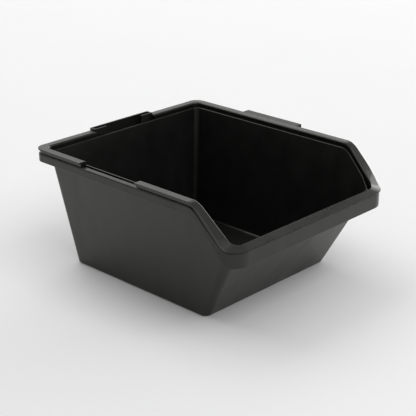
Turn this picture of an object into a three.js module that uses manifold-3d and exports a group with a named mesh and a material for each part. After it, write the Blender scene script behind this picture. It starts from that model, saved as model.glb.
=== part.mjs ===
// Mortar mixing tub: a tapered black plastic tub whose side walls slope down to a low front.
// Millimetres, +Z up. The origin is the middle of the flat underside and the low front faces -Y.
// The tub's rim is a stepped moulding: the wall's bare top lip, a channel round it, a shelf and
// a skirt. A rim cap in two lengths plugs into the channel, a coupling strip lies under the cap
// on the +X side, and a hanger drops into a gap in the rear rim.
import * as THREE from 'three';
import { mergeVertices } from 'three/addons/utils/BufferGeometryUtils.js';
import Module from 'manifold-3d';

const wasm = await Module();
wasm.setup();

// Walls: half sizes at the underside, and how far each wall leans out for each unit of height
const BASE_HALF_X = 151.5;
const BASE_HALF_Y = 158.5;
const SIDE_LEAN = 0.151;
const REAR_LEAN = 0.124;
const FRONT_LEAN = 0.535;
const WALL = 3;
const CORNER_RADIUS = 12;
const FRONT_CORNER_GROWTH = 5;
const BASE_EDGE_RADIUS = 4;
const FLOOR_FILLET = 4;

// Rim height: level at the rear and sides, then a slope down to the low front
const HEIGHT = 216;
const FRONT_HEIGHT = 157;
const SLOPE_TOP_Y = -175.5;
const SLOPE_FOOT_Y = -237.5;
const SLOPE_TOP_BLEND = 11;
const SLOPE_FOOT_BLEND = 6;

// Rim section: distances in from the rim's outline, and depths below its top surface
const OVERHANG = 15.5;
const REAR_OUTLINE_RADIUS = 19;
const FRONT_OUTLINE_RADIUS = 38;
const FRONT_NARROWING = 2;
const BEAD_PLATE = 2;
const LEG_OUTER = 3.4;
const LEG_INNER = 4.8;
const STEM_THICKNESS = 2.4;
const STEM_DEPTH = 14;
const LIP_DEPTH = 8.4;
const CHANNEL_DEPTH = 15;
const CHANNEL_EDGE = 9.8;
const RIM_PLATE = 2.5;
const SKIRT_PLATE = 2.7;
const SHELF_EDGE_RADIUS = 3;

// Place of the stem's lowest inner point in the list of a cap section's points
const STEM_POINT = 7;

// Values that change from the sides and rear to the front, as [sides, front]. A value that does so
// over a stretch of its own also gives the y where the change starts and ends.
const BEAD_DEPTH = [2.6, 5.4, -160, -190];
const BEAD_FALL = [0, 4.6, -205, -240];
const BEAD_OUTER_RADIUS = [1.4, 0.6];
const BEAD_INNER_RADIUS = [3.4, 1.2];
const SHELF_DEPTH = [8, 5.9, -195, -230];
const SKIRT_DEPTH = [23, 32.5];
const SKIRT_RECESS = [0.9, 2.5];
const FRONT_CHANGE_START_Y = -215;
const FRONT_CHANGE_END_Y = -245;

// Gap in the rim cap on the -X side; the coupling strip of a neighbouring tub drops into it
const NOTCH_FRONT_Y = -49.5;
const NOTCH_REAR_Y = 82;
const END_WALL = 3;
const END_STEP = 0.2;

// Coupling strip on the +X side
const STRIP_CLEARANCE = 2;
const STRIP_REACH = 15.8;
const STRIP_TOP = 0.3;
const STRIP_PLATE = 3;
const STRIP_EDGE = 0.8;
const STRIP_HOOK = 2.6;
const TONGUE_DEPTH = 13.5;

// Rear hanger
const HANGER_HALF_LENGTH = 70;
const HANGER_PLATE = 3;
const HANGER_RISE = 3.5;
const HANGER_PLATE_DEPTH = 24;
const HANGER_RETURN_DEPTH = 20;
const HANGER_POCKET = 8.2;
const HANGER_RETURN_LENGTH = 27;
const HANGER_TENON_LENGTH = 10;
const HANGER_TENON_TOP = 10;
const CUT_MARGIN = 40;
const WALL_STUB = 0.5;

// Clearance between pieces that touch
const GAP = 0.3;

// Derived outline of the rim, as half width and the rear and front positions
const OUTLINE_X = BASE_HALF_X + SIDE_LEAN * HEIGHT + OVERHANG;
const OUTLINE_REAR_Y = BASE_HALF_Y + REAR_LEAN * HEIGHT + OVERHANG;
const OUTLINE_FRONT_Y = -(BASE_HALF_Y + FRONT_LEAN * FRONT_HEIGHT + OVERHANG);

// Distances of a tongue that fits in the channel beside the cap's stem
const TONGUE_OUTER = CHANNEL_EDGE + GAP;
const TONGUE_INNER = OVERHANG - STEM_THICKNESS - GAP;

const lerp = THREE.MathUtils.lerp;

// A ramp that is 0 before -blend, t after blend, and a smooth curve between
function softRamp(t, blend) {
  if (t < -blend) return 0;
  if (t > blend) return t;
  return (t + blend) ** 2 / (4 * blend);
}

// Height of the rim's top surface above the underside
function rimHeight(y) {
  const steepness = (HEIGHT - FRONT_HEIGHT) / (SLOPE_TOP_Y - SLOPE_FOOT_Y);
  const fallen = softRamp(SLOPE_TOP_Y - y, SLOPE_TOP_BLEND) - softRamp(SLOPE_FOOT_Y - y, SLOPE_FOOT_BLEND);
  return HEIGHT - steepness * fallen;
}

// The value at y of one that changes from the sides to the front
function towardsFront(values, y) {
  const [sides, front, start = FRONT_CHANGE_START_Y, end = FRONT_CHANGE_END_Y] = values;
  return lerp(sides, front, THREE.MathUtils.smoothstep((start - y) / (start - end), 0, 1));
}

// The wall's horizontal outline at height z, moved inward by inset: a rectangle with round corners.
// The front corners grow rounder towards the rim.
function wallOutline(z, inset) {
  return {
    x: BASE_HALF_X + SIDE_LEAN * z - inset * Math.hypot(1, SIDE_LEAN),
    rear: BASE_HALF_Y + REAR_LEAN * z - inset * Math.hypot(1, REAR_LEAN),
    front: BASE_HALF_Y + FRONT_LEAN * z - inset * Math.hypot(1, FRONT_LEAN),
    radius: Math.max(CORNER_RADIUS - inset, 1),
    frontRadius: Math.max(CORNER_RADIUS + FRONT_CORNER_GROWTH * z / FRONT_HEIGHT - inset, 1),
  };
}

const RIM_SIDE_REAR_Y = wallOutline(HEIGHT, 0).rear - CORNER_RADIUS;
const RIM_SIDE_FRONT_Y = wallOutline(FRONT_HEIGHT, 0).frontRadius - wallOutline(FRONT_HEIGHT, 0).front;
const RIM_REAR_X = wallOutline(HEIGHT, 0).x - CORNER_RADIUS;

// A station is a place along the rim. The zones are rear, rearCorner, side, frontCorner and front;
// at is x on the rear, a turn angle in a corner, y on a side and a fraction of the width in front.
function halfStations(side) {
  const list = [];
  for (const at of [HANGER_HALF_LENGTH + GAP, 110, 160]) list.push({ zone: 'rear', side, at });
  for (let i = 0; i <= 5; i += 1) list.push({ zone: 'rearCorner', side, at: (i / 5) * Math.PI / 2 });
  for (const at of [160, NOTCH_REAR_Y, 16, NOTCH_FRONT_Y, -120]) list.push({ zone: 'side', side, at });
  for (let i = -2; i <= 2; i += 1) {
    list.push({ zone: 'side', side, at: SLOPE_TOP_Y - (i / 2) * SLOPE_TOP_BLEND });
  }
  for (const at of [-205, -216]) list.push({ zone: 'side', side, at });
  for (let i = 0; i <= 8; i += 1) list.push({ zone: 'frontCorner', side, at: (i / 8) * Math.PI / 2 });
  list.push({ zone: 'front', side, at: 0.5 });
  return list;
}

// Point of a corner arc in plan: turn runs from the rear or front face round to the side
function cornerPoint(station, halfX, endY, radius) {
  const turn = station.zone === 'rearCorner' ? station.at : Math.PI / 2 - station.at;
  const end = station.zone === 'rearCorner' ? 1 : -1;
  const x = halfX - radius + radius * Math.sin(turn);
  const y = endY - radius + radius * Math.cos(turn);
  return new THREE.Vector2(station.side * x, end * y);
}

// Point on the wall's outline at height z, for any height between the floor and the rim
function wallPlan(station, z, inset) {
  const outline = wallOutline(z, inset);
  if (station.zone === 'rear') {
    const straightX = outline.x - outline.radius;
    return new THREE.Vector2(station.side * station.at * straightX / RIM_REAR_X, outline.rear);
  }
  if (station.zone === 'front') {
    const straightX = outline.x - outline.frontRadius;
    return new THREE.Vector2(station.side * station.at * straightX, -outline.front);
  }
  if (station.zone === 'side') {
    const along = (RIM_SIDE_REAR_Y - station.at) / (RIM_SIDE_REAR_Y - RIM_SIDE_FRONT_Y);
    const y = lerp(outline.rear - outline.radius, outline.frontRadius - outline.front, along);
    return new THREE.Vector2(station.side * outline.x, y);
  }
  if (station.zone === 'rearCorner') {
    return cornerPoint(station, outline.x, outline.rear, outline.radius);
  }
  return cornerPoint(station, outline.x, outline.front, outline.frontRadius);
}

// The wall's outer face carried up to the rim's top surface: the bead's inner edge
function beadInnerEdge(station) {
  const plan = new THREE.Vector2();
  let z = HEIGHT;
  for (let i = 0; i < 20; i += 1) {
    plan.copy(wallPlan(station, z, 0));
    if (station.zone === 'side') plan.y = station.at;
    z = rimHeight(plan.y);
  }
  if (station.zone === 'rear') plan.x = station.side * station.at;
  return new THREE.Vector3(plan.x, plan.y, z);
}

// Point on the wall at a depth below the bead's inner edge
function wallBelowRim(station, depth, inset = 0) {
  const z = beadInnerEdge(station).z - depth;
  const plan = wallPlan(station, z, inset);
  if (station.zone === 'side') plan.y = station.at;
  if (station.zone === 'rear') plan.x = station.side * station.at;
  return new THREE.Vector3(plan.x, plan.y, z);
}

function wallAtHeight(station, z, inset) {
  const plan = wallPlan(station, z, inset);
  return new THREE.Vector3(plan.x, plan.y, z);
}

// Half width of the rim's outline, which is a little narrower at the low front
function outlineHalfX(y) {
  return OUTLINE_X - FRONT_NARROWING * (HEIGHT - rimHeight(y)) / (HEIGHT - FRONT_HEIGHT);
}

// Point on the rim's outer outline in plan
function outlinePlan(station) {
  const frontX = OUTLINE_X - FRONT_NARROWING;
  if (station.zone === 'rear') return new THREE.Vector2(station.side * station.at, OUTLINE_REAR_Y);
  if (station.zone === 'side') {
    return new THREE.Vector2(station.side * outlineHalfX(station.at), station.at);
  }
  if (station.zone === 'front') {
    const straightX = frontX - FRONT_OUTLINE_RADIUS;
    return new THREE.Vector2(station.side * station.at * straightX, OUTLINE_FRONT_Y);
  }
  if (station.zone === 'rearCorner') {
    return cornerPoint(station, OUTLINE_X, OUTLINE_REAR_Y, REAR_OUTLINE_RADIUS);
  }
  return cornerPoint(station, frontX, -OUTLINE_FRONT_Y, FRONT_OUTLINE_RADIUS);
}

// Point of the rim section, inward from the outline by distance and down from the top by depth
function rimPoint(station, distance, depthAt) {
  const plan = outlinePlan(station);
  const bead = beadInnerEdge(station);
  const inward = new THREE.Vector2(bead.x, bead.y).sub(plan).normalize();
  plan.addScaledVector(inward, distance);
  return new THREE.Vector3(plan.x, plan.y, rimHeight(plan.y) - depthAt(plan.y));
}

const beadDepth = (y) => towardsFront(BEAD_DEPTH, y);
const shelfDepth = (y) => towardsFront(SHELF_DEPTH, y);
const skirtDepth = (y) => towardsFront(SKIRT_DEPTH, y);

// Joins rows of points, each a closed loop, into one closed body; flatten gives a row's 2-D view
function loft(rows, flatten) {
  const count = rows[0].length;
  const positions = rows.flat().flatMap((point) => point.toArray());
  const index = [];
  for (let row = 0; row + 1 < rows.length; row += 1) {
    for (let i = 0; i < count; i += 1) {
      const next = (i + 1) % count;
      const a = row * count + i;
      const b = row * count + next;
      index.push(a, b, b + count, a, b + count, a + count);
    }
  }
  for (const [row, flip] of [[0, true], [rows.length - 1, false]]) {
    for (const face of THREE.ShapeUtils.triangulateShape(rows[row].map(flatten), [])) {
      const corners = flip ? [face[2], face[1], face[0]] : face;
      const clockwise = THREE.ShapeUtils.isClockWise(rows[row].map(flatten));
      if (clockwise) corners.reverse();
      index.push(...corners.map((corner) => row * count + corner));
    }
  }
  const geometry = new THREE.BufferGeometry();
  geometry.setAttribute('position', new THREE.Float32BufferAttribute(positions, 3));
  geometry.setIndex(index);
  return geometry;
}

// Turns a geometry's triangles over when they face inward
function facingOut(geometry) {
  const position = geometry.attributes.position;
  const index = geometry.index.array;
  const [a, b, c] = [new THREE.Vector3(), new THREE.Vector3(), new THREE.Vector3()];
  let volume = 0;
  for (let i = 0; i < index.length; i += 3) {
    a.fromBufferAttribute(position, index[i]);
    b.fromBufferAttribute(position, index[i + 1]);
    c.fromBufferAttribute(position, index[i + 2]);
    volume += a.dot(b.cross(c));
  }
  if (volume > 0) return geometry;
  for (let i = 0; i < index.length; i += 3) [index[i], index[i + 1]] = [index[i + 1], index[i]];
  return geometry;
}

function solid(geometry) {
  const bare = geometry.clone();
  bare.deleteAttribute('normal');
  bare.deleteAttribute('uv');
  const merged = mergeVertices(bare, 1e-4);
  return new wasm.Manifold(new wasm.Mesh({
    numProp: 3,
    vertProperties: new Float32Array(merged.attributes.position.array),
    triVerts: new Uint32Array(merged.index.array),
  }));
}

function geometryOf(manifold) {
  const mesh = manifold.getMesh();
  const geometry = new THREE.BufferGeometry();
  geometry.setAttribute('position', new THREE.Float32BufferAttribute(mesh.vertProperties, 3));
  geometry.setIndex(Array.from(mesh.triVerts));
  return geometry;
}

// A box between two opposite corners
function box(low, high) {
  const size = high.map((value, i) => value - low[i]);
  const geometry = new THREE.BoxGeometry(...size);
  geometry.translate(...low.map((value, i) => value + size[i] / 2));
  return geometry;
}

// A straight bar along Y whose section is given as [x, z] points
function barAlongY(section, frontY, rearY) {
  const shape = new THREE.Shape(section.map(([x, z]) => new THREE.Vector2(x, z)));
  const geometry = new THREE.ExtrudeGeometry(shape, { depth: rearY - frontY, bevelEnabled: false });
  geometry.rotateX(Math.PI / 2);
  geometry.translate(0, rearY, 0);
  return geometry;
}

// Tub shell: base, walls, top lip, channel, shelf and skirt in one moulding
function tubShell() {
  const right = halfStations(1);
  const left = halfStations(-1).reverse();
  const loop = [...right, ...left];
  const skirtFace = (y) => towardsFront(SKIRT_RECESS, y);
  const skirtPoint = (station, distance, depthAt) => {
    const y = outlinePlan(station).y;
    return rimPoint(station, skirtFace(y) + distance, depthAt);
  };
  const ring = (place) => loop.map(place);
  const arc = Math.SQRT1_2;
  const filletSet = WALL + FLOOR_FILLET;
  const rows = [
    ring((s) => wallAtHeight(s, 0, BASE_EDGE_RADIUS)),
    ring((s) => wallAtHeight(s, BASE_EDGE_RADIUS * (1 - arc), BASE_EDGE_RADIUS * (1 - arc))),
    ring((s) => wallAtHeight(s, BASE_EDGE_RADIUS, 0)),
    ring((s) => wallBelowRim(s, CHANNEL_DEPTH + RIM_PLATE)),
    ring((s) => rimPoint(s, CHANNEL_EDGE - RIM_PLATE, () => CHANNEL_DEPTH + RIM_PLATE)),
    ring((s) => rimPoint(s, CHANNEL_EDGE - RIM_PLATE, (y) => shelfDepth(y) + RIM_PLATE)),
    ring((s) => skirtPoint(s, SKIRT_PLATE, (y) => shelfDepth(y) + RIM_PLATE)),
    ring((s) => skirtPoint(s, SKIRT_PLATE, skirtDepth)),
    ring((s) => skirtPoint(s, 0, skirtDepth)),
    ring((s) => skirtPoint(s, 0, (y) => shelfDepth(y) + SHELF_EDGE_RADIUS)),
    ring((s) => skirtPoint(s, SHELF_EDGE_RADIUS, shelfDepth)),
    ring((s) => rimPoint(s, CHANNEL_EDGE, shelfDepth)),
    ring((s) => rimPoint(s, CHANNEL_EDGE, () => CHANNEL_DEPTH)),
    ring((s) => wallBelowRim(s, CHANNEL_DEPTH)),
    ring((s) => wallBelowRim(s, LIP_DEPTH)),
    ring((s) => wallBelowRim(s, LIP_DEPTH, WALL)),
    ring((s) => wallAtHeight(s, WALL + FLOOR_FILLET, WALL)),
    ring((s) => wallAtHeight(s, WALL + FLOOR_FILLET * (1 - arc), WALL + FLOOR_FILLET * (1 - arc))),
    ring((s) => wallAtHeight(s, WALL, filletSet)),
  ];
  const shell = solid(facingOut(loft(rows, (point) => new THREE.Vector2(point.x, point.y))));
  return geometryOf(shell.subtract(solid(hangerCut())));
}

// Over the hanger's length the rim is cut away at the rear, from the wall outward
function hangerCut() {
  const low = HEIGHT - CUT_MARGIN;
  const high = HEIGHT + CUT_MARGIN;
  const far = OUTLINE_REAR_Y + CUT_MARGIN;
  const wallFace = (z) => wallOutline(z, 0).rear + WALL_STUB;
  const section = [[wallFace(low), low], [far, low], [far, high], [wallFace(high), high]];
  const shape = new THREE.Shape(section.map(([y, z]) => new THREE.Vector2(y, z)));
  const depth = 2 * (HANGER_HALF_LENGTH + GAP);
  const geometry = new THREE.ExtrudeGeometry(shape, { depth, bevelEnabled: false });
  geometry.rotateX(Math.PI / 2);
  geometry.rotateZ(Math.PI / 2);
  geometry.translate(-depth / 2, 0, 0);
  return geometry;
}

// Rim cap section at a station: a hollow bead on an outer leg, and the stem that plugs it in. At
// the front the bead's top falls outward, as a pouring lip.
function capSection(station) {
  const y = outlinePlan(station).y;
  const width = beadInnerEdge(station).setZ(0).distanceTo(new THREE.Vector3(...outlinePlan(station), 0));
  const outerRadius = towardsFront(BEAD_OUTER_RADIUS, y);
  const innerRadius = towardsFront(BEAD_INNER_RADIUS, y);
  const fall = towardsFront(BEAD_FALL, y);
  const topDepth = (distance) => fall * (1 - distance / width);
  const foot = shelfDepth(y) - GAP;
  const roof = (distance) => (station.closed ? foot : topDepth(distance) + BEAD_PLATE);
  const at = (distance, depth) => rimPoint(station, distance, () => depth);
  const outerArc = outerRadius * (1 - Math.SQRT1_2);
  const innerArc = innerRadius * (1 - Math.SQRT1_2);
  const stem = width - STEM_THICKNESS;
  return [
    at(0, beadDepth(y)),
    at(0, fall + outerRadius),
    at(outerArc, fall + outerArc),
    at(outerRadius, topDepth(outerRadius)),
    at(width - innerRadius, topDepth(width - innerRadius)),
    at(width - innerArc, innerArc),
    at(width, innerRadius),
    at(width, STEM_DEPTH),
    at(stem, STEM_DEPTH),
    at(stem, roof(stem)),
    at(LEG_INNER + (station.closed ? END_STEP : 0), roof(LEG_INNER)),
    at(LEG_INNER, foot),
    at(LEG_OUTER, foot),
    at(LEG_OUTER, beadDepth(y)),
  ];
}

function capLength(stations) {
  const rows = stations.map(capSection);
  const middle = new THREE.Vector3();
  const flatten = (point) => {
    const row = rows.find((candidate) => candidate.includes(point));
    middle.subVectors(row[STEM_POINT], row[0]).setZ(0).normalize();
    return new THREE.Vector2(point.dot(middle), point.z);
  };
  return facingOut(loft(rows, flatten));
}

// Stations that close the cap's hollow with a wall at an end of the notch, in order toward the
// notch. away is the sign of y on the cap's side of that end.
function notchEnd(endY, away) {
  const zone = { zone: 'side', side: -1 };
  return [
    { ...zone, at: endY + away * (END_WALL + END_STEP) },
    { ...zone, at: endY + away * END_WALL, closed: true },
    { ...zone, at: endY, closed: true },
  ];
}

// From the notch's front end, round the front and the +X side, to the hanger
function rimCapLong() {
  const right = halfStations(1);
  const left = halfStations(-1).filter((s) => s.zone !== 'rear' && s.zone !== 'rearCorner');
  const beyondNotch = left.filter((s) => s.zone !== 'side' || s.at < NOTCH_FRONT_Y).reverse();
  const cap = solid(capLength([...right, ...beyondNotch, ...notchEnd(NOTCH_FRONT_Y, -1)]));
  return geometryOf(cap.subtract(solid(stripCut())));
}

// The cap's outer leg is cut away where the coupling strip passes under the bead
function stripCut() {
  const [frontY, rearY] = stripEnds();
  const innerX = OUTLINE_X - LEG_INNER - GAP;
  const low = [innerX, frontY - GAP, HEIGHT - SHELF_DEPTH[0]];
  return box(low, [OUTLINE_X + STRIP_REACH, rearY + GAP, HEIGHT - BEAD_DEPTH[0]]);
}

function stripEnds() {
  return [NOTCH_FRONT_Y + STRIP_CLEARANCE, NOTCH_REAR_Y - STRIP_CLEARANCE];
}

// From the hanger round the rear -X corner to the notch's rear end
function rimCapShort() {
  const left = halfStations(-1);
  const beforeFront = left.filter((s) => s.zone !== 'front' && s.zone !== 'frontCorner');
  const beforeNotch = beforeFront.filter((s) => s.zone !== 'side' || s.at > NOTCH_REAR_Y);
  return capLength([...beforeNotch, ...notchEnd(NOTCH_REAR_Y, 1)]);
}

// Coupling strip: a plate on the shelf under the bead, with a tongue in the channel. Outside the
// bead it steps up almost flush, and ends in a hook that drops into the notch of the next tub.
function couplingStrip() {
  const at = (distance, depth) => [OUTLINE_X - distance, HEIGHT - depth];
  const plateTop = BEAD_DEPTH[0] + GAP;
  const plateBottom = SHELF_DEPTH[0] - GAP;
  const stepInner = -GAP - STRIP_PLATE;
  const under = STRIP_TOP + STRIP_PLATE;
  const section = [
    at(STRIP_EDGE - STRIP_REACH, STRIP_TOP),
    at(-GAP, STRIP_TOP),
    at(-GAP, plateTop),
    at(TONGUE_INNER, plateTop),
    at(TONGUE_INNER, TONGUE_DEPTH),
    at(TONGUE_OUTER, TONGUE_DEPTH),
    at(TONGUE_OUTER, plateBottom),
    at(stepInner, plateBottom),
    at(stepInner, under),
    at(STRIP_HOOK - STRIP_REACH, under),
    at(STRIP_HOOK - STRIP_REACH, CHANNEL_DEPTH),
    at(-STRIP_REACH, CHANNEL_DEPTH),
    at(-STRIP_REACH, STRIP_TOP + STRIP_EDGE),
  ];
  return barAlongY(section, ...stripEnds());
}

// Rear hanger: a plate across the rim's gap whose ends turn in twice to make an open pocket, with
// a tenon at each end that lies in the rim's channel
function rearHanger() {
  const plateRear = OUTLINE_REAR_Y + HANGER_PLATE;
  const pocketFront = OUTLINE_REAR_Y - HANGER_POCKET - HANGER_PLATE;
  const top = HEIGHT + HANGER_RISE;
  const half = HANGER_HALF_LENGTH;
  const plateBottom = HEIGHT - HANGER_PLATE_DEPTH;
  const returnBottom = HEIGHT - HANGER_RETURN_DEPTH;
  let body = solid(box([-half, OUTLINE_REAR_Y, plateBottom], [half, plateRear, top]));
  for (const side of [-1, 1]) {
    const bar = (near, far, lowY, highY, lowZ, highZ) => {
      const [lowX, highX] = side > 0 ? [near, far] : [-far, -near];
      body = body.add(solid(box([lowX, lowY, lowZ], [highX, highY, highZ])));
    };
    const returnFace = pocketFront + HANGER_PLATE;
    bar(half - HANGER_PLATE, half, pocketFront, plateRear, returnBottom, top);
    bar(half - HANGER_RETURN_LENGTH, half, pocketFront, returnFace, returnBottom, top);
    const tenonFace = OUTLINE_REAR_Y - TONGUE_INNER;
    const tenonBack = OUTLINE_REAR_Y - TONGUE_OUTER;
    const tenonTop = HEIGHT - HANGER_TENON_TOP;
    const tenonEnd = half + HANGER_TENON_LENGTH;
    bar(half - HANGER_PLATE, tenonEnd, tenonFace, tenonBack, HEIGHT - STEM_DEPTH, tenonTop);
  }
  return geometryOf(body);
}

const blackPlastic = { color: 0x1b1c1d, roughness: 0.5, metalness: 0 };

function piece(name, geometry, finish) {
  const mesh = new THREE.Mesh(geometry, new THREE.MeshStandardMaterial(finish));
  mesh.name = name;
  return mesh;
}

const tub = new THREE.Group();
tub.add(piece('tub_shell', tubShell(), blackPlastic));
tub.add(piece('rim_cap_long', rimCapLong(), blackPlastic));
tub.add(piece('rim_cap_short', rimCapShort(), blackPlastic));
tub.add(piece('coupling_strip', couplingStrip(), blackPlastic));
tub.add(piece('rear_hanger', rearHanger(), blackPlastic));

export default tub;
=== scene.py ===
import math

import bmesh
import bpy
import numpy as np
from mathutils import Matrix, Vector


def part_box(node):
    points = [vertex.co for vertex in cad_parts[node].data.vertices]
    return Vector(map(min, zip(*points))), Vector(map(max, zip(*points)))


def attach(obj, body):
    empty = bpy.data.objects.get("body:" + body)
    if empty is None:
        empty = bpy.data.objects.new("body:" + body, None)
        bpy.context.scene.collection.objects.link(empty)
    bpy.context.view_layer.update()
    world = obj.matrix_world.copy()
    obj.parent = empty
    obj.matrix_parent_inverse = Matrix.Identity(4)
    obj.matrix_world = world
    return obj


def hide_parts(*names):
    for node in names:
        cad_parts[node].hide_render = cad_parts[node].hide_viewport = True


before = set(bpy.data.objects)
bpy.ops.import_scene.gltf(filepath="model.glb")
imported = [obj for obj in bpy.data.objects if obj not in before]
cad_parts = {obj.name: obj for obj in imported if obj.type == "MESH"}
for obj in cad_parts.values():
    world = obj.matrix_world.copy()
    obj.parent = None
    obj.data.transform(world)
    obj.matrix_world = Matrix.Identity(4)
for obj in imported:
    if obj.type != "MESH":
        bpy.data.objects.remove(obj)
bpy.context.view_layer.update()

MM = 0.001


def corners_mm(node):
    low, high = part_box(node)
    return low / MM, high / MM


# The rim's outline and height, from the frame
CAP_LOW, CAP_HIGH = corners_mm("rim_cap_long")
SHORT_LOW, SHORT_HIGH = corners_mm("rim_cap_short")
STRIP_LOW, STRIP_HIGH = corners_mm("coupling_strip")
HANGER_LOW, HANGER_HIGH = corners_mm("rear_hanger")
HEIGHT = CAP_HIGH.z
OUTLINE_X = CAP_HIGH.x
OUTLINE_REAR_Y = CAP_HIGH.y
OUTLINE_FRONT_Y = CAP_LOW.y
NOTCH_REAR_Y = SHORT_LOW.y
CAP_END_X = -SHORT_HIGH.x

# Walls: half sizes at the underside, and how far each wall leans out for each unit of height
BASE_HALF_X = 151.5
BASE_HALF_Y = 158.5
SIDE_LEAN = 0.151
REAR_LEAN = 0.124
FRONT_LEAN = 0.535
WALL = 3.0
CORNER_RADIUS = 12.0
LEAST_RADIUS = 1.0
FRONT_CORNER_GROWTH = 5.0
BASE_EDGE_REACH = 4.0
FLOOR_FILLET_REACH = 4.0

# Rim height: level at the rear and sides, then a slope down to the low front
FRONT_HEIGHT = 157.0
SLOPE_TOP_Y = -175.5
SLOPE_FOOT_Y = -237.5
SLOPE_TOP_BLEND = 11.0
SLOPE_FOOT_BLEND = 6.0

# Rim outline: corner radii, and how far each side draws in by the front
REAR_OUTLINE_RADIUS = 19.0
FRONT_OUTLINE_RADIUS = 38.0
FRONT_NARROWING = 2.0

# Where the long cap ends at the notch
NOTCH_FRONT_Y = -49.5

# Rim section: distances in from the outline, depths below the top surface, and thicknesses
BEAD_PLATE = 2.0
LEG_OUTER = 3.4
LEG_INNER = 4.8
STEM_THICKNESS = 2.4
STEM_DEPTH = 14.0
LIP_DEPTH = 8.4
CHANNEL_DEPTH = 15.0
CHANNEL_EDGE = 9.8
GAP = 0.3
RIM_PLATE = 2.5
SKIRT_PLATE = 2.7

# Values that change from the sides and rear to the front, as (sides, front). A value that does so
# over a stretch of its own also gives the y where the change starts and ends.
BEAD_DEPTH = (2.6, 5.4, -160.0, -190.0)
BEAD_FALL = (0.0, 4.6, -205.0, -240.0)
BEAD_OUTER_ROUNDING = (1.4, 0.6)
BEAD_INNER_ROUNDING = (3.4, 1.2)
SHELF_DEPTH = (8.0, 5.9, -195.0, -230.0)
SKIRT_DEPTH = (23.0, 32.5)
SKIRT_RECESS = (0.9, 2.5)
FRONT_CHANGE_START_Y = -215.0
FRONT_CHANGE_END_Y = -245.0


def soft_ramp(t, blend):
    """0 before -blend, t after blend, and a smooth curve between."""
    if t < -blend:
        return 0.0
    if t > blend:
        return t
    return (t + blend) ** 2 / (4 * blend)


def rim_height(y):
    steepness = (HEIGHT - FRONT_HEIGHT) / (SLOPE_TOP_Y - SLOPE_FOOT_Y)
    from_top = soft_ramp(SLOPE_TOP_Y - y, SLOPE_TOP_BLEND)
    past_foot = soft_ramp(SLOPE_FOOT_Y - y, SLOPE_FOOT_BLEND)
    return HEIGHT - steepness * (from_top - past_foot)


def towards_front(values, y):
    """The value at y of one that changes from the sides to the front."""
    sides, front, *stretch = values
    start, end = stretch or (FRONT_CHANGE_START_Y, FRONT_CHANGE_END_Y)
    t = min(max((start - y) / (start - end), 0.0), 1.0)
    return sides + (front - sides) * t * t * (3 - 2 * t)


def wall_outline(z, inset):
    """Half width, rear, front, and rear and front corner radius of the wall at height z, moved in
    by inset. The front corners grow rounder towards the rim."""
    return (
        BASE_HALF_X + SIDE_LEAN * z - inset * math.hypot(1, SIDE_LEAN),
        BASE_HALF_Y + REAR_LEAN * z - inset * math.hypot(1, REAR_LEAN),
        BASE_HALF_Y + FRONT_LEAN * z - inset * math.hypot(1, FRONT_LEAN),
        max(CORNER_RADIUS - inset, LEAST_RADIUS),
        max(CORNER_RADIUS + FRONT_CORNER_GROWTH * z / FRONT_HEIGHT - inset, LEAST_RADIUS),
    )


# Passes that settle where the leaning wall meets the sloping rim
RIM_PASSES = 20

# Ends of the rim's straight stretches
RIM_SIDE_REAR_Y = wall_outline(HEIGHT, 0)[1] - CORNER_RADIUS
RIM_SIDE_FRONT_Y = wall_outline(FRONT_HEIGHT, 0)[4] - wall_outline(FRONT_HEIGHT, 0)[2]
RIM_REAR_X = wall_outline(HEIGHT, 0)[0] - CORNER_RADIUS


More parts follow.
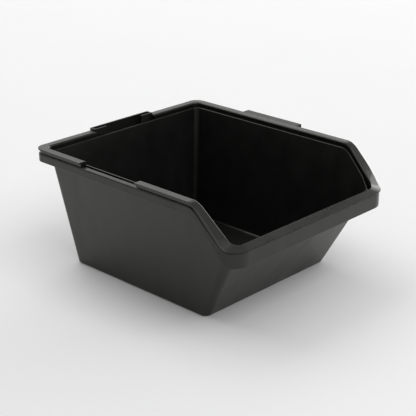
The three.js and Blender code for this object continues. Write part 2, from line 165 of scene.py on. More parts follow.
class Station:
    """A place along the rim. at is x on the rear, a turn angle in a corner, y on a side, and a share
    of the straight width on the front. side is 1 on +X and -1 on -X."""

    def __init__(self, zone, side, at):
        self.zone = zone
        self.side = side
        self.at = at
        self.outer = self.outline_plan()
        self.rail = self.bead_inner_edge()
        inner = self.rail[:2]
        self.bead_width = float(np.linalg.norm(inner - self.outer))
        self.inward = (inner - self.outer) / self.bead_width

    def corner_point(self, half_x, end_y, radius):
        rear = self.zone == "rearCorner"
        turn = self.at if rear else math.pi / 2 - self.at
        x = half_x - radius + radius * math.sin(turn)
        y = end_y - radius + radius * math.cos(turn)
        return np.array([self.side * x, y if rear else -y])

    def wall_plan(self, z, inset):
        half_x, rear, front, radius, front_radius = wall_outline(z, inset)
        if self.zone == "rear":
            return np.array([self.side * self.at * (half_x - radius) / RIM_REAR_X, rear])
        if self.zone == "front":
            return np.array([self.side * self.at * (half_x - front_radius), -front])
        if self.zone == "side":
            along = (RIM_SIDE_REAR_Y - self.at) / (RIM_SIDE_REAR_Y - RIM_SIDE_FRONT_Y)
            y = (rear - radius) * (1 - along) + (front_radius - front) * along
            return np.array([self.side * half_x, y])
        if self.zone == "rearCorner":
            return self.corner_point(half_x, rear, radius)
        return self.corner_point(half_x, front, front_radius)

    def outline_plan(self):
        front_x = OUTLINE_X - FRONT_NARROWING
        if self.zone == "rear":
            return np.array([self.side * self.at, OUTLINE_REAR_Y])
        if self.zone == "side":
            fallen = (HEIGHT - rim_height(self.at)) / (HEIGHT - FRONT_HEIGHT)
            return np.array([self.side * (OUTLINE_X - FRONT_NARROWING * fallen), self.at])
        if self.zone == "front":
            return np.array([self.side * self.at * (front_x - FRONT_OUTLINE_RADIUS), OUTLINE_FRONT_Y])
        if self.zone == "rearCorner":
            return self.corner_point(OUTLINE_X, OUTLINE_REAR_Y, REAR_OUTLINE_RADIUS)
        return self.corner_point(front_x, -OUTLINE_FRONT_Y, FRONT_OUTLINE_RADIUS)

    def bead_inner_edge(self):
        """The wall's outer face carried up to the rim's top surface."""
        z = HEIGHT
        for _ in range(RIM_PASSES):
            plan = self.wall_plan(z, 0)
            if self.zone == "side":
                plan[1] = self.at
            z = rim_height(plan[1])
        if self.zone == "rear":
            plan[0] = self.side * self.at
        return np.array([plan[0], plan[1], z])

    def wall_below(self, depth, inset=0.0):
        z = self.rail[2] - depth
        plan = self.wall_plan(z, inset)
        if self.zone == "side":
            plan[1] = self.at
        if self.zone == "rear":
            plan[0] = self.side * self.at
        return np.array([plan[0], plan[1], z])

    def wall_at(self, z, inset):
        plan = self.wall_plan(z, inset)
        return np.array([plan[0], plan[1], z])

    def rim(self, distance, depth):
        """A point of the rim section: distance in from the outline, depth below the top surface."""
        plan = self.outer + self.inward * distance
        return np.array([plan[0], plan[1], rim_height(plan[1]) - depth])

    def rim_varied(self, distance, depths, extra=0.0):
        plan = self.outer + self.inward * distance
        return self.rim(distance, towards_front(depths, plan[1]) + extra)


# Where the stations lie: x on the rear, y on the sides, and shares of the front's straight width
REAR_X = (CAP_END_X, 90, 120, 150, RIM_REAR_X - 3)
LEVEL_Y = (165, 130, NOTCH_REAR_Y, 50, 16, -17, NOTCH_FRONT_Y, -80, -110, -140, -155)
FRONT_SHARES = (0.97, 0.85, 0.6, 0.3)
REAR_CORNER_STEPS = 20
FRONT_CORNER_STEPS = 44
SLOPE_STEP = 6.0
SLOPE_END_Y = -217.0
BEND_STEPS = 14


def half_stations(side):
    """Stations on one half of the rim, from the hanger round to the middle of the front."""
    rear = [Station("rear", side, x) for x in REAR_X]
    turns = [i / REAR_CORNER_STEPS * math.pi / 2 for i in range(REAR_CORNER_STEPS + 1)]
    rear += [Station("rearCorner", side, turn) for turn in turns]
    bend_top = SLOPE_TOP_Y + SLOPE_TOP_BLEND
    bend = [bend_top - 2 * SLOPE_TOP_BLEND * i / BEND_STEPS for i in range(BEND_STEPS + 1)]
    slope = list(np.arange(bend[-1] - SLOPE_STEP, SLOPE_END_Y, -SLOPE_STEP)) + [SLOPE_END_Y]
    sides = [Station("side", side, float(y)) for y in list(LEVEL_Y) + bend + slope]
    turns = [i / FRONT_CORNER_STEPS * math.pi / 2 for i in range(FRONT_CORNER_STEPS + 1)]
    front = [Station("frontCorner", side, turn) for turn in turns]
    front += [Station("front", side, share) for share in FRONT_SHARES]
    return rear + sides + front


# Rounded corners: how strongly a corner pulls its curve, and the most of an edge that one may take
CORNER_PULL = 0.9
LONGEST_SHARE = 0.48


def rounded(points, reaches, steps, closed):
    """A polyline with its corners rounded. reaches says how far each corner's curve runs along its
    two edges. The same reaches and steps always give the same number of points."""
    points = [np.asarray(p, float) for p in points]
    count = len(points)
    result = []
    for i, (point, reach) in enumerate(zip(points, reaches)):
        if reach == 0 or (not closed and i in (0, count - 1)):
            result.append(point)
            continue
        before = points[i - 1] - point
        after = points[(i + 1) % count] - point
        start = point + before * min(reach / np.linalg.norm(before), LONGEST_SHARE)
        end = point + after * min(reach / np.linalg.norm(after), LONGEST_SHARE)
        for k in range(steps + 1):
            t = k / steps
            weight = 2 * t * (1 - t) * CORNER_PULL
            curve = (1 - t) ** 2 * start + weight * point + t * t * end
            result.append(curve / ((1 - t) ** 2 + weight + t * t))
    return result


def inset_section(corners, inset, steps):
    """A closed section given as (point, reach) corners: each edge is moved inward by inset, and then
    the corners are rounded. The order keeps a thin section from folding over itself."""
    points = np.array([point for point, _ in corners], float)
    following = np.roll(points, -1, axis=0)
    after = following - points
    after /= np.linalg.norm(after, axis=1)[:, None]
    area = np.sum(points[:, 0] * following[:, 1] - points[:, 1] * following[:, 0])
    inward = np.stack([-after[:, 1], after[:, 0]], axis=1) * (1 if area > 0 else -1)
    before = np.roll(inward, 1, axis=0)
    mitre = (before + inward) / (1 + np.sum(before * inward, axis=1))[:, None]
    return rounded(points + mitre * inset, [reach for _, reach in corners], steps, True)


# Points nearer than this are one point, in metres
SAME_POINT = 1e-7


def shade_smooth(mesh):
    mesh.polygons.foreach_set("use_smooth", [True] * len(mesh.polygons))


def mesh_object(name, vertices_mm, faces):
    mesh = bpy.data.meshes.new(name)
    mesh.from_pydata([tuple(v * MM) for v in vertices_mm], [], faces)
    mesh.update()
    shape = bmesh.new()
    shape.from_mesh(mesh)
    bmesh.ops.remove_doubles(shape, verts=shape.verts, dist=SAME_POINT)
    bmesh.ops.recalc_face_normals(shape, faces=shape.faces)
    shape.to_mesh(mesh)
    shape.free()
    shade_smooth(mesh)
    obj = bpy.data.objects.new(name, mesh)
    bpy.context.scene.collection.objects.link(obj)
    return obj


def skin(rows, close_across=True, close_along=False, caps=True):
    """Vertices and faces of a skin over rows of points. The plain call makes a closed tube."""
    count = len(rows[0])
    vertices = [point for row in rows for point in row]
    faces = []
    for j in range(len(rows) if close_along else len(rows) - 1):
        for i in range(count if close_across else count - 1):
            a = j * count + i
            b = j * count + (i + 1) % count
            c = ((j + 1) % len(rows)) * count + (i + 1) % count
            d = ((j + 1) % len(rows)) * count + i
            faces.append((a, b, c, d))
    if caps:
        faces.append(tuple(range(count)))
        last = (len(rows) - 1) * count
        faces.append(tuple(last + i for i in reversed(range(count))))
    return vertices, faces


def box_object(name, low, high):
    corners = [(low[0], low[1]), (high[0], low[1]), (high[0], high[1]), (low[0], high[1])]
    rows = [[np.array([x, y, z]) for x, y in corners] for z in (low[2], high[2])]
    return mesh_object(name, *skin(rows))


def add_weighted_normals(obj):
    modifier = obj.modifiers.new("even shading", "WEIGHTED_NORMAL")
    modifier.mode = "FACE_AREA"
    modifier.weight = 100
    modifier.keep_sharp = True


def apply_modifiers(obj):
    evaluated = obj.evaluated_get(bpy.context.evaluated_depsgraph_get())
    mesh = bpy.data.meshes.new_from_object(evaluated)
    obj.modifiers.clear()
    obj.data = mesh


def combine(obj, other, operation):
    """Cuts other out of obj or joins it on, and removes other."""
    modifier = obj.modifiers.new(operation.lower(), "BOOLEAN")
    modifier.operation = operation
    modifier.object = other
    modifier.solver = "EXACT"
    apply_modifiers(obj)
    bpy.data.objects.remove(other)


# ---------------------------------------------------------------- tub shell

# Insets of the rings of points across the underside and the floor. They keep the flat faces even,
# and stop before their corners cross.
UNDERSIDE_RINGS = (95.0, 75.0, 55.0, 35.0, 12.0)
FLOOR_RINGS = (24.0, 45.0, 60.0, 78.0, 95.0)

# Roundings of the section's corners, and the steps in each
SHELL_STEPS = 6
UNDER_RIM_FOLD = 3.0
RIB_EDGE = 0.8
SKIRT_INNER_EDGE = 0.9
SKIRT_OUTER_EDGE = 1.1
SHELF_OUTER_EDGE = 3.0
SHELF_INNER_EDGE = 0.7
CHANNEL_FOLD = 0.5
LIP_EDGE = 1.4

# The hanger's gap: how far the cutter reaches past the rim, and what it leaves on the wall
CUT_MARGIN = 40.0
WALL_STUB = 0.2


def shell_section(station):
    """Control points of the tub's section and how far each corner is rounded."""
    recess = towards_front(SKIRT_RECESS, station.outer[1])
    under_channel = CHANNEL_DEPTH + RIM_PLATE
    rib_face = CHANNEL_EDGE - RIM_PLATE
    skirt_inner = recess + SKIRT_PLATE
    section = [(station.wall_at(0, ring), 0) for ring in UNDERSIDE_RINGS]
    section += [
        (station.wall_at(0, 0), BASE_EDGE_REACH),
        (station.wall_below(under_channel), UNDER_RIM_FOLD),
        (station.rim(rib_face, under_channel), RIB_EDGE),
        (station.rim_varied(rib_face, SHELF_DEPTH, RIM_PLATE), RIB_EDGE),
        (station.rim_varied(skirt_inner, SHELF_DEPTH, RIM_PLATE), RIB_EDGE),
        (station.rim_varied(skirt_inner, SKIRT_DEPTH), SKIRT_INNER_EDGE),
        (station.rim_varied(recess, SKIRT_DEPTH), SKIRT_OUTER_EDGE),
        (station.rim_varied(recess, SHELF_DEPTH), SHELF_OUTER_EDGE),
        (station.rim_varied(CHANNEL_EDGE, SHELF_DEPTH), SHELF_INNER_EDGE),
        (station.rim(CHANNEL_EDGE, CHANNEL_DEPTH), CHANNEL_FOLD),
        (station.wall_below(CHANNEL_DEPTH), CHANNEL_FOLD),
        (station.wall_below(LIP_DEPTH), LIP_EDGE),
        (station.wall_below(LIP_DEPTH, WALL), LIP_EDGE),
        (station.wall_at(WALL, WALL), FLOOR_FILLET_REACH),
    ]
    section += [(station.wall_at(WALL, ring), 0) for ring in FLOOR_RINGS]
    return section


def hanger_cutter():
    """A prism that takes the rim away between the caps' rear ends, from the wall outward."""
    low, high = HEIGHT - CUT_MARGIN, HEIGHT + CUT_MARGIN
    far = OUTLINE_REAR_Y + CUT_MARGIN
    near_low, near_high = (BASE_HALF_Y + REAR_LEAN * z + WALL_STUB for z in (low, high))
    corners = [(near_low, low), (far, low), (far, high), (near_high, high)]
    rows = [[np.array([x, y, z]) for y, z in corners] for x in (-CAP_END_X, CAP_END_X)]
    return mesh_object("hanger_cutter", *skin(rows))


def tub_shell():
    stations = half_stations(1) + half_stations(-1)[::-1]
    rows = []
    for station in stations:
        section = shell_section(station)
        rows.append(rounded([p for p, _ in section], [r for _, r in section], SHELL_STEPS, False))
    # The innermost rings of the underside and the floor are closed by one face each
    vertices, faces = skin(rows, close_across=False, close_along=True, caps=False)
    count = len(rows[0])
    faces.append(tuple(j * count for j in range(len(rows))))
    faces.append(tuple(j * count + count - 1 for j in reversed(range(len(rows)))))
    obj = mesh_object("tub_body", vertices, faces)
    combine(obj, hanger_cutter(), "DIFFERENCE")
    add_weighted_normals(obj)
    return obj


# ---------------------------------------------------------------- rim cap

# Cut ends are rounded over this length, which stays under half the leg's thickness
END_ROUNDING = 0.4
END_STEPS = (0.0, 0.05, 0.18, END_ROUNDING)

# The wall that closes the cap's hollow at the notch, and the small step behind it
END_WALL = 3.0
END_STEP = 0.2

# Stations nearer than this to a cut end are left out
END_ROOM = 1.0

# Roundings of the section's corners, and the steps in each
CAP_STEPS = 8
BEAD_FOOT_EDGE = 0.5
STEM_EDGE = 0.6
ROOF_FOLD = 0.4
LEG_EDGE = 0.45
TIGHT_FOLD = 0.1


def cap_section(station, inset, closed):
    """The cap's section as (distance, depth) points, with its corners rounded: a hollow bead on an
    outer leg, and the stem that plugs it in. At the front the bead's top falls outward. A closed
    section has no hollow. inset moves its faces inward."""
    y = station.outer[1]
    width = station.bead_width
    bead = towards_front(BEAD_DEPTH, y)
    leg_foot = towards_front(SHELF_DEPTH, y) - GAP
    fall = towards_front(BEAD_FALL, y)
    stem = width - STEM_THICKNESS

    def roof(distance):
        return leg_foot if closed else fall * (1 - distance / width) + BEAD_PLATE

    corners = [
        ((0, bead), BEAD_FOOT_EDGE),
        ((0, fall), towards_front(BEAD_OUTER_ROUNDING, y)),
        ((width, 0), towards_front(BEAD_INNER_ROUNDING, y)),
        ((width, STEM_DEPTH), STEM_EDGE),
        ((stem, STEM_DEPTH), STEM_EDGE),
        ((stem, roof(stem)), ROOF_FOLD),
        ((LEG_INNER + (END_STEP if closed else 0), roof(LEG_INNER)), TIGHT_FOLD),
        ((LEG_INNER, leg_foot), TIGHT_FOLD if closed else LEG_EDGE),
        ((LEG_OUTER, leg_foot), LEG_EDGE),
        ((LEG_OUTER, bead), TIGHT_FOLD),
    ]
    return inset_section(corners, inset, CAP_STEPS)


def end_inset(distance):
    """How far a cut end's section is drawn in at a distance from the end: a quarter circle."""
    left = max(END_ROUNDING - distance, 0.0)
    return END_ROUNDING - math.sqrt(END_ROUNDING ** 2 - left ** 2)


def cap_row(station, inset, closed=False):
    return [station.rim(distance, depth) for distance, depth in cap_section(station, inset, closed)]


def strip_cutter():
    """The room that the coupling strip takes from the cap's outer leg."""
    low = (OUTLINE_X - LEG_INNER - GAP, STRIP_LOW.y - GAP, HEIGHT - SHELF_DEPTH[0])
    high = (STRIP_HIGH.x, STRIP_HIGH.y + GAP, HEIGHT - BEAD_DEPTH[0])
    return box_object("strip_cutter", low, high)


def cap_piece(name, stations, ends):
    """ends holds the makers of the end stations at the hanger and at the notch: each takes a
    distance in from the cut end. The notch's end is closed by a wall."""
    rows = [cap_row(ends[0](step), end_inset(step)) for step in END_STEPS]
    rows += [cap_row(station, 0.0) for station in stations]
    rows.append(cap_row(ends[1](END_WALL + END_STEP), 0.0))
    rows.append(cap_row(ends[1](END_WALL), 0.0, closed=True))
    rows += [cap_row(ends[1](step), end_inset(step), closed=True) for step in reversed(END_STEPS)]
    return mesh_object(name, *skin(rows))


def rim_cap_long():
    right = [s for s in half_stations(1) if s.zone != "rear" or s.at > CAP_END_X + END_ROOM]
    left = [s for s in half_stations(-1) if s.zone in ("side", "frontCorner", "front")]
    left = [s for s in left if s.zone != "side" or s.at < NOTCH_FRONT_Y - END_WALL - END_ROOM]
    ends = (
        lambda step: Station("rear", 1, CAP_END_X + step),
        lambda step: Station("side", -1, NOTCH_FRONT_Y - step),
    )
    obj = cap_piece("bead_long", right + left[::-1], ends)
    combine(obj, strip_cutter(), "DIFFERENCE")
    add_weighted_normals(obj)
    return obj


def rim_cap_short():
    left = [s for s in half_stations(-1) if s.zone in ("rear", "rearCorner", "side")]
    left = [s for s in left if s.zone != "rear" or s.at > CAP_END_X + END_ROOM]
    left = [s for s in left if s.zone != "side" or s.at > NOTCH_REAR_Y + END_WALL + END_ROOM]
    ends = (
        lambda step: Station("rear", -1, CAP_END_X + step),
        lambda step: Station("side", -1, NOTCH_REAR_Y + step),
    )
    obj = cap_piece("bead_short", left, ends)
    add_weighted_normals(obj)
    return obj


# ---------------------------------------------------------------- coupling strip

STRIP_PLATE = 3.0
STRIP_HOOK = 2.6
STRIP_TONGUE = 2.7
STRIP_TONGUE_RISE = 1.5

# Roundings of the section's corners, and the steps in each
STRIP_STEPS = 6
STRIP_TOP_EDGE = 1.6
STRIP_THIN_EDGE = 0.45
STRIP_HOOK_EDGE = 0.7
STRIP_HOOK_FOLD = 0.8
STRIP_RISER_EDGE = 0.6
STRIP_FOLD = 0.3


def coupling_strip():
    """A plate on the shelf under the bead, with a tongue at its inner edge. Outside the bead it steps
    up almost flush, and ends in a hook."""
    inner, outer = STRIP_LOW.x, STRIP_HIGH.x
    top, bottom = STRIP_HIGH.z, STRIP_LOW.z
    plate_top = HEIGHT - BEAD_DEPTH[0] - GAP
    plate_bottom = HEIGHT - SHELF_DEPTH[0] + GAP
    riser = OUTLINE_X + GAP
    tongue_foot = bottom + STRIP_TONGUE_RISE
    corners = [
        ((riser, top), STRIP_THIN_EDGE),
        ((outer, top), STRIP_TOP_EDGE),
        ((outer, bottom), STRIP_HOOK_EDGE),
        ((outer - STRIP_HOOK, bottom), STRIP_HOOK_EDGE),
        ((outer - STRIP_HOOK, top - STRIP_PLATE), STRIP_HOOK_FOLD),
        ((riser + STRIP_PLATE, top - STRIP_PLATE), STRIP_HOOK_FOLD),
        ((riser + STRIP_PLATE, plate_bottom), STRIP_RISER_EDGE),
        ((inner + STRIP_TONGUE, plate_bottom), STRIP_FOLD),
        ((inner + STRIP_TONGUE, tongue_foot), STRIP_THIN_EDGE),
        ((inner, tongue_foot), STRIP_THIN_EDGE),
        ((inner, plate_top), STRIP_THIN_EDGE),
        ((riser, plate_top), STRIP_FOLD),
    ]
    length = STRIP_HIGH.y - STRIP_LOW.y
    steps = list(END_STEPS) + [length / 2] + [length - step for step in reversed(END_STEPS)]
    rows = []
    for step in steps:
        section = inset_section(corners, end_inset(min(step, length - step)), STRIP_STEPS)
        rows.append([np.array([x, STRIP_LOW.y + step, z]) for x, z in section])
    obj = mesh_object("link_strip", *skin(rows))
    add_weighted_normals(obj)
    return obj


# ---------------------------------------------------------------- rear hanger

HANGER_PLATE = 3.0
HANGER_POCKET = 8.2
HANGER_RETURN = 27.0
HANGER_HALF = 70.0
HANGER_RETURN_DEPTH = 20.0

# The tenon's rear face, in from the outline, and its top, below the rim's
TENON_REAR = 10.1
TENON_TOP = 10.0

# Edges flatter than the first angle are dissolved, and those sharper than the second are rounded
HANGER_EDGE = 0.6
HANGER_EDGE_STEPS = 3
FLAT_WITHIN = math.radians(1)
SHARP_FROM = math.radians(40)


def rear_hanger():
    """A plate across the rim's gap whose ends turn in twice to make an open pocket, with a tenon at
    each end that lies in the rim's channel."""
    rear, front = HANGER_HIGH.y, OUTLINE_REAR_Y - HANGER_POCKET - HANGER_PLATE
    top, bottom = HANGER_HIGH.z, HANGER_LOW.z
    half, plate = HANGER_HALF, HANGER_PLATE
    return_height = (HEIGHT - HANGER_RETURN_DEPTH, top)
    side_plate = ((half - plate, half), (front, rear), return_height)
    inward_plate = ((half - HANGER_RETURN, half), (front, front + plate), return_height)
    tenon = (
        (half - plate, HANGER_HIGH.x),
        (HANGER_LOW.y, OUTLINE_REAR_Y - TENON_REAR),
        (HEIGHT - STEM_DEPTH, HEIGHT - TENON_TOP),
    )
    obj = box_object("hanger_pocket", (-half, rear - plate, bottom), (half, rear, top))
    for side in (-1, 1):
        for across, depth, height in (side_plate, inward_plate, tenon):
            near, far = sorted(side * x for x in across)
            bar = box_object("bar", (near, depth[0], height[0]), (far, depth[1], height[1]))
            combine(obj, bar, "UNION")
    flatten = obj.modifiers.new("whole flat faces", "DECIMATE")
    flatten.decimate_type = "DISSOLVE"
    flatten.angle_limit = FLAT_WITHIN
    bevel = obj.modifiers.new("soft edges", "BEVEL")
    bevel.width = HANGER_EDGE * MM
    bevel.segments = HANGER_EDGE_STEPS
    bevel.limit_method = "ANGLE"
    bevel.angle_limit = SHARP_FROM
    apply_modifiers(obj)
    shade_smooth(obj.data)
    add_weighted_normals(obj)
    return obj


# ---------------------------------------------------------------- materials

# Sockets of a colour mix node: its factor, its two colours and its result
MIX_FACTOR = 0
MIX_COLOURS = (6, 7)
MIX_RESULT = 2

# Noise: features in a metre, stretch along x, y and z, and the range of its values that is used
BLOTCH_SCALE = 38
BLOTCH_STRETCH = (1, 1, 0.8)
BLOTCH_RANGE = (0.2, 0.8)
CLOUD_SCALE = 7
CLOUD_RANGE = (0.4, 0.7)
GRAIN_SCALE = 900
STREAK_SCALE = 50
STREAK_STRETCH = (1, 1, 0.06)
STREAK_RANGE = (0.1, 0.9)
WAVE_SCALE = 22
WAVE_STRETCH = (1, 1, 0.5)

# How much the noise changes the roughness, and the bump's heights in metres
BLOTCH_GLOSS = 0.025
STREAK_GLOSS = 0.02
WAVE_HEIGHT = 0.002
GRAIN_HEIGHT = 0.0001

# Worn edges: the sharpness where wear starts and is full, the most wear, the share of it in the
# cleanest patches, and what wear does to the colour and the roughness
EDGE_SHARPNESS = (0.53, 0.62)
MOST_WORN = 0.35
CLEAN_PATCH_WEAR = 0.2
WORN_LIGHTER = 2.6
WORN_ROUGHER = 0.2

# Tint of the plastic's highlights
WARM_SHEEN = (1.0, 0.985, 0.9)


def nodes_of(material):
    material.use_nodes = True
    return material.node_tree.nodes, material.node_tree.links


def noise(nodes, links, coordinates, scale, detail, stretch=(1, 1, 1)):
    """Noise over the piece's own coordinates. scale counts features in a metre."""
    mapping = nodes.new("ShaderNodeMapping")
    mapping.inputs["Scale"].default_value = stretch
    links.new(coordinates, mapping.inputs["Vector"])
    texture = nodes.new("ShaderNodeTexNoise")
    texture.inputs["Scale"].default_value = scale
    texture.inputs["Detail"].default_value = detail
    texture.inputs["Roughness"].default_value = 0.55
    links.new(mapping.outputs["Vector"], texture.inputs["Vector"])
    return texture.outputs["Fac"]


def ranged(nodes, links, value, source, target):
    node = nodes.new("ShaderNodeMapRange")
    node.inputs["From Min"].default_value = source[0]
    node.inputs["From Max"].default_value = source[1]
    node.inputs["To Min"].default_value = target[0]
    node.inputs["To Max"].default_value = target[1]
    links.new(value, node.inputs["Value"])
    return node.outputs["Result"]


def maths(nodes, links, operation, first, second):
    node = nodes.new("ShaderNodeMath")
    node.operation = operation
    for socket, value in zip(node.inputs, (first, second)):
        if isinstance(value, (int, float)):
            socket.default_value = value
        else:
            links.new(value, socket)
    return node.outputs["Value"]


def mixed_colour(nodes, links, factor, first, second):
    node = nodes.new("ShaderNodeMix")
    node.data_type = "RGBA"
    links.new(factor, node.inputs[MIX_FACTOR])
    for index, colour in zip(MIX_COLOURS, (first, second)):
        if isinstance(colour, tuple):
            node.inputs[index].default_value = (*colour, 1)
        else:
            links.new(colour, node.inputs[index])
    return node.outputs[MIX_RESULT]


def bumped(nodes, links, height, distance, strength, normal=None):
    node = nodes.new("ShaderNodeBump")
    node.inputs["Strength"].default_value = strength
    node.inputs["Distance"].default_value = distance
    links.new(height, node.inputs["Height"])
    if normal is not None:
        links.new(normal, node.inputs["Normal"])
    return node.outputs["Normal"]


def black_plastic(name, dark, light, index, gloss, waviness, grain):
    """Moulded black plastic: a patchy, streaky sheen, slow waves, fine grain and worn edges. gloss is
    the roughness, and index is the index of refraction."""
    material = bpy.data.materials.new(name)
    nodes, links = nodes_of(material)
    shader = nodes["Principled BSDF"]
    shader.inputs["IOR"].default_value = index
    shader.inputs["Specular Tint"].default_value = (*WARM_SHEEN, 1)
    coordinates = nodes.new("ShaderNodeTexCoord").outputs["Object"]
    geometry = nodes.new("ShaderNodeNewGeometry")

    blotches = noise(nodes, links, coordinates, BLOTCH_SCALE, detail=1, stretch=BLOTCH_STRETCH)
    clouds = noise(nodes, links, coordinates, CLOUD_SCALE, detail=2)
    specks = noise(nodes, links, coordinates, GRAIN_SCALE, detail=2)
    streaks = noise(nodes, links, coordinates, STREAK_SCALE, detail=0, stretch=STREAK_STRETCH)

    shade = ranged(nodes, links, blotches, BLOTCH_RANGE, (0, 1))
    base = mixed_colour(nodes, links, shade, dark, light)
    edge = ranged(nodes, links, geometry.outputs["Pointiness"], EDGE_SHARPNESS, (0, MOST_WORN))
    patches = ranged(nodes, links, clouds, CLOUD_RANGE, (CLEAN_PATCH_WEAR, 1))
    worn = maths(nodes, links, "MULTIPLY", edge, patches)
    worn_colour = tuple(WORN_LIGHTER * c for c in light)
    links.new(mixed_colour(nodes, links, worn, base, worn_colour), shader.inputs["Base Color"])

    sheen = (gloss - BLOTCH_GLOSS, gloss + BLOTCH_GLOSS)
    patchy = ranged(nodes, links, blotches, BLOTCH_RANGE, sheen)
    streaky = ranged(nodes, links, streaks, STREAK_RANGE, (-STREAK_GLOSS, STREAK_GLOSS))
    rubbed = maths(nodes, links, "MULTIPLY", worn, WORN_ROUGHER)
    moulded = maths(nodes, links, "ADD", patchy, streaky)
    links.new(maths(nodes, links, "ADD", moulded, rubbed), shader.inputs["Roughness"])

    waves = noise(nodes, links, coordinates, WAVE_SCALE, detail=1, stretch=WAVE_STRETCH)
    normal = bumped(nodes, links, waves, WAVE_HEIGHT, waviness)
    normal = bumped(nodes, links, specks, GRAIN_HEIGHT, grain, normal)
    links.new(normal, shader.inputs["Normal"])
    return material


FLOOR_TONE_SCALE = 3
FLOOR_DARK = (0.92, 0.92, 0.92)
FLOOR_LIGHT = (0.94, 0.94, 0.94)


def floor_material():
    material = bpy.data.materials.new("pale floor")
    nodes, links = nodes_of(material)
    shader = nodes["Principled BSDF"]
    coordinates = nodes.new("ShaderNodeTexCoord").outputs["Object"]
    tone = noise(nodes, links, coordinates, FLOOR_TONE_SCALE, detail=2)
    colour = mixed_colour(nodes, links, tone, FLOOR_DARK, FLOOR_LIGHT)
    links.new(colour, shader.inputs["Base Color"])
    shader.inputs["Roughness"].default_value = 0.9
    shader.inputs["Specular IOR Level"].default_value = 0.1
    return material


# ---------------------------------------------------------------- stage, lights, camera

# Half the floor's width, and how far it lies below the tub, in metres
FLOOR_HALF = 30.0
FLOOR_GAP = 0.0002


def pale_floor():
    signs = [(-1, -1), (1, -1), (1, 1), (-1, 1)]
    corners = [(x * FLOOR_HALF, y * FLOOR_HALF, -FLOOR_GAP) for x, y in signs]
    mesh = bpy.data.meshes.new("floor")
    mesh.from_pydata(corners, [], [(0, 1, 2, 3)])
    floor = bpy.data.objects.new("floor", mesh)
    floor.data.materials.append(floor_material())
    bpy.context.scene.collection.objects.link(floor)


WORLD_STRENGTH = 0.28


def white_world(strength):
    world = bpy.data.worlds.new("studio")
    world.use_nodes = True
    background = world.node_tree.nodes["Background"]
    background.inputs["Color"].default_value = (1, 1, 1, 1)
    background.inputs["Strength"].default_value = strength
    bpy.context.scene.world = world


# Soft light panels round the tub, as name, azimuth, elevation, width, height and watts: degrees and
# metres. Azimuth 0 is the -Y side and 90 the +X side.
PANEL_DISTANCE = 8.0
PANEL_AIM = Vector((0, 0, 0.1))
SOFTBOXES = (
    ("low_right", 90, 12, 9.2, 3.8, 336.0),
    ("low_right_rear", 135, 14, 5.8, 3.4, 33.6),
    ("mid_right_rear", 135, 32, 5.2, 2.6, 29.6),
    ("mid_right_front", 63, 41, 5.2, 3.2, 8.0),
    ("high_front", 0, 50, 6.4, 5.2, 220.0),
    ("high_rear", 180, 50, 6.4, 5.2, 218.0),
    ("overhead", 0, 89.9, 6.0, 6.0, 70.0),
)


def softbox(name, azimuth, elevation, size, watts):
    turn, rise = math.radians(azimuth), math.radians(elevation)
    level = math.cos(rise)
    outward = Vector((math.sin(turn) * level, -math.cos(turn) * level, math.sin(rise)))
    place = outward * PANEL_DISTANCE
    data = bpy.data.lights.new(name, "AREA")
    data.shape = "RECTANGLE"
    data.size, data.size_y = size
    data.energy = watts
    light = bpy.data.objects.new(name, data)
    light.location = place
    light.rotation_euler = (PANEL_AIM - place).to_track_quat("-Z", "Y").to_euler()
    bpy.context.scene.collection.objects.link(light)


# The camera looks from the front and the -X side at a point near the tub's middle. The two shifts
# move it sideways and up without turning it.
CAMERA_AZIMUTH = math.radians(-46.464)
CAMERA_ELEVATION = math.radians(21.913)
CAMERA_DISTANCE = 1.9789
CAMERA_AIM = (0.0, -0.0285, 0.1)
CAMERA_RIGHT_SHIFT = -0.00662
CAMERA_UP_SHIFT = 0.00881
CAMERA_LENS = 99.05
CAMERA_SENSOR = 36
CAMERA_CLIP_END = 100


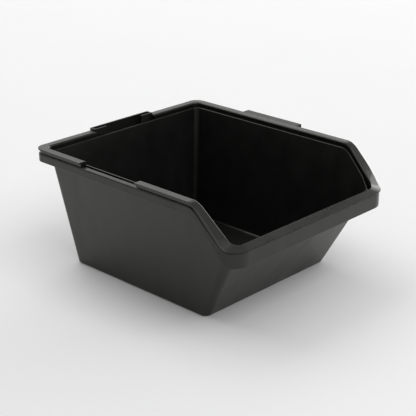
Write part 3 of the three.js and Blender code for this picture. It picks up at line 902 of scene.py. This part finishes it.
def place_camera():
    cos_a, sin_a = math.cos(CAMERA_AZIMUTH), math.sin(CAMERA_AZIMUTH)
    cos_e, sin_e = math.cos(CAMERA_ELEVATION), math.sin(CAMERA_ELEVATION)
    back = Vector((sin_a * cos_e, -cos_a * cos_e, sin_e))
    right = Vector((cos_a, sin_a, 0))
    up = back.cross(right)
    data = bpy.data.cameras.new("camera")
    data.lens = CAMERA_LENS
    data.sensor_width = CAMERA_SENSOR
    data.clip_end = CAMERA_CLIP_END
    camera = bpy.data.objects.new("camera", data)
    place = Vector(CAMERA_AIM) + back * CAMERA_DISTANCE
    place = place + right * CAMERA_RIGHT_SHIFT + up * CAMERA_UP_SHIFT
    turn = Matrix((right, up, back)).transposed()
    camera.matrix_world = Matrix.Translation(place) @ turn.to_4x4()
    bpy.context.scene.collection.objects.link(camera)
    bpy.context.scene.camera = camera


# ---------------------------------------------------------------- the tub

SHELL_DARK = (0.0058, 0.0063, 0.006)
SHELL_LIGHT = (0.0102, 0.0109, 0.0103)
TRIM_DARK = (0.0054, 0.0054, 0.0051)
TRIM_LIGHT = (0.0075, 0.0074, 0.007)
SHELL_LOOK = black_plastic(
    "shell plastic", SHELL_DARK, SHELL_LIGHT, index=1.48, gloss=0.31, waviness=0.6, grain=0.2
)
CAP_LOOK = black_plastic(
    "cap plastic", TRIM_DARK, TRIM_LIGHT, index=1.54, gloss=0.28, waviness=0.06, grain=0.2
)
FITTING_LOOK = black_plastic(
    "fitting plastic", TRIM_DARK, TRIM_LIGHT, index=1.45, gloss=0.36, waviness=0.06, grain=0.25
)

for build, node, slot, look in (
    (tub_shell, "tub_shell", "shell_plastic", SHELL_LOOK),
    (rim_cap_long, "rim_cap_long", "cap_plastic", CAP_LOOK),
    (rim_cap_short, "rim_cap_short", "cap_plastic", CAP_LOOK),
    (coupling_strip, "coupling_strip", "fitting_plastic", FITTING_LOOK),
    (rear_hanger, "rear_hanger", "fitting_plastic", FITTING_LOOK),
):
    piece = build()
    piece.data.materials.clear()
    piece.data.materials.append(look)
    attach(piece, "root")
    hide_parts(node)

pale_floor()
white_world(WORLD_STRENGTH)
for label, azimuth, elevation, width, height, watts in SOFTBOXES:
    softbox(label, azimuth, elevation, (width, height), watts)
place_camera()
bpy.context.scene.view_settings.view_transform = "Standard"
